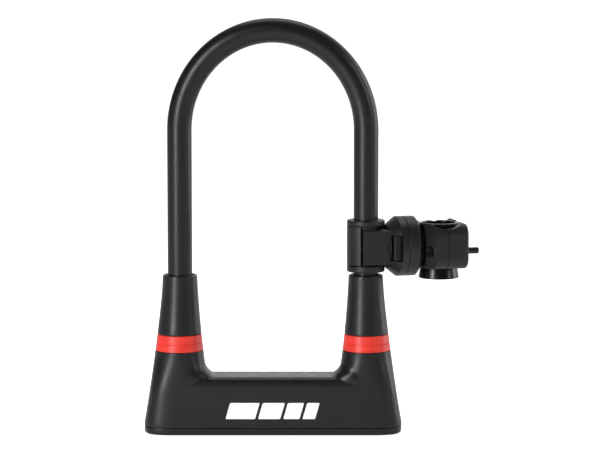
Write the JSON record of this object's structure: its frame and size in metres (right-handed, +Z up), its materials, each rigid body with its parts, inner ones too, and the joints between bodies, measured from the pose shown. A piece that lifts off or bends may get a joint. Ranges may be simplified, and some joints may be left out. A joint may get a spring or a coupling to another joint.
{
  "type": "u lock",
  "caption": "Bicycle U lock: coated steel shackle in a crossbar with flared towers, key-driven bolts, and a quick-release frame bracket on one leg.",
  "frame": {"origin": "middle of the flat underside of the crossbar", "axes": "+Z up towards the arch of the shackle, +X along the crossbar towards the leg with the bracket, +Y away from the front face"},
  "size_m": [0.227, 0.0563, 0.2813],
  "materials": {
    "body_shell": "satin moulded black with a fine grain",
    "shackle_vinyl": "satin black vinyl dip",
    "bracket_nylon": "matt moulded black nylon",
    "hidden_nylon": "plain black nylon",
    "rubber_liner": "soft black rubber with a dull sheen",
    "red_trim": "glossy red plastic",
    "hard_steel": "drawn and hardened steel",
    "zinc_steel": "bright zinc plate",
    "dark_steel": "black oxide",
    "brass": "turned brass"
  },
  "bodies": {
    "lock_body": {"housing": "body_shell", "base_cap": "body_shell", "crossbar_tube": "hard_steel", "cylinder_shell": "brass", "base_screw_1": "dark_steel", "base_screw_2": "dark_steel", "base_screw_3": "dark_steel", "base_screw_4": "dark_steel", "tower_sleeve_left": "body_shell", "tower_sleeve_right": "body_shell", "red_ring_left": "red_trim", "red_ring_right": "red_trim", "mouth_bush_left": "hidden_nylon", "mouth_bush_right": "hidden_nylon", "leg_socket_left": "hard_steel", "leg_socket_right": "hard_steel", "bolt_guide_left": "zinc_steel", "bolt_guide_right": "zinc_steel"},
    "lock_plug": {"plug": "brass", "key_disc_1": "brass", "key_disc_2": "brass", "key_disc_3": "brass", "key_disc_4": "brass", "key_disc_5": "brass", "key_disc_6": "brass", "bolt_cam": "zinc_steel", "plug_clip": "dark_steel"},
    "left_bolt": {"bolt_left": "zinc_steel"},
    "right_bolt": {"bolt_right": "zinc_steel"},
    "shutter": {"keyway_shutter": "hidden_nylon"},
    "shackle": {"shackle_bar": "hard_steel", "shackle_coating": "shackle_vinyl", "spool": "bracket_nylon"},
    "bracket_arm": {"arm": "bracket_nylon", "jaw_pin": "dark_steel", "slider_spring": "zinc_steel"},
    "bracket_jaw": {"jaw": "bracket_nylon"},
    "slider": {"jaw_slider": "bracket_nylon"},
    "clamp": {"dial": "bracket_nylon", "swivel_bolt": "zinc_steel", "swivel_nut": "zinc_steel", "clamp_inner": "bracket_nylon", "clamp_outer": "bracket_nylon", "clamp_liner": "rubber_liner", "clamp_screw_front": "dark_steel", "clamp_screw_back": "dark_steel", "clamp_nut_front": "zinc_steel", "clamp_nut_back": "zinc_steel"}
  },
  "joints": [
    {"name": "key_turn", "type": "hinge", "parent": "lock_body", "child": "lock_plug", "pos_m": [0.022, 0, 0.015], "axis": [0, 0, 1], "range_deg": [0, 90]},
    {"name": "left_bolt_throw", "type": "slide", "parent": "lock_body", "child": "left_bolt", "axis": [-1, 0, 0], "range_m": [0, 0.0082]},
    {"name": "right_bolt_throw", "type": "slide", "parent": "lock_body", "child": "right_bolt", "axis": [1, 0, 0], "range_m": [0, 0.0082]},
    {"name": "shutter_slide", "type": "slide", "parent": "lock_body", "child": "shutter", "axis": [-1, 0, 0], "range_m": [0, 0.0135]},
    {"name": "shackle_lift", "type": "slide", "parent": "lock_body", "child": "shackle", "axis": [0, 0, 1], "range_m": [0, 0.12]},
    {"name": "bracket_swing", "type": "hinge", "parent": "shackle", "child": "bracket_arm", "pos_m": [0.06295, 0, 0.1267], "axis": [0, 0, 1], "continuous": true},
    {"name": "jaw_swing", "type": "hinge", "parent": "bracket_arm", "child": "bracket_jaw", "pos_m": [0.05406, 0.01273, 0.1267], "axis": [0, 0, -1], "range_deg": [0, 100]},
    {"name": "slider_travel", "type": "slide", "parent": "bracket_arm", "child": "slider", "axis": [-0.9744, -0.225, 0], "range_m": [0, 0.0017]},
    {"name": "clamp_turn", "type": "hinge", "parent": "bracket_arm", "child": "clamp", "pos_m": [0.09218, 0.00675, 0.1267], "axis": [0.9744, 0.225, 0], "continuous": true}
  ],
  "couplings": [
    {"joint": "left_bolt_throw", "follows": "key_turn", "m_per_rad": 0.004501},
    {"joint": "right_bolt_throw", "follows": "key_turn", "m_per_rad": 0.004501}
  ]
}
